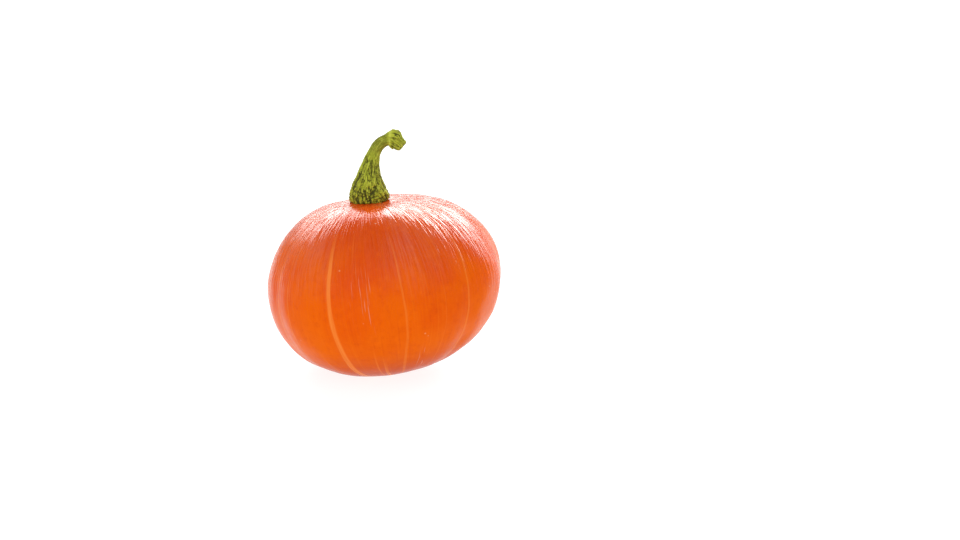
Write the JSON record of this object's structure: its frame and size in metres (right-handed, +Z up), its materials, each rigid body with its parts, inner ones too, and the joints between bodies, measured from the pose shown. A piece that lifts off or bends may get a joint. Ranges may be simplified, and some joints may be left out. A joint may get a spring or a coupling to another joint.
{
  "type": "whole pumpkin",
  "caption": "Whole round pumpkin with a smooth glossy red-orange skin, soft ribs and a curved corky green stem, resting on a small flat spot.",
  "frame": {"origin": "on the surface that the pumpkin rests on, under the middle of its box", "axes": "+Z up, out of the resting spot towards the stem; +X to the side that the stem's cut end bends to; +Y to the back"},
  "size_m": [0.198, 0.1998, 0.2047],
  "materials": {
    "fruit_skin": "gloss",
    "stem_cork": "matte"
  },
  "bodies": {
    "root": {"fruit": "fruit_skin", "stem": "stem_cork"}
  },
  "joints": []
}
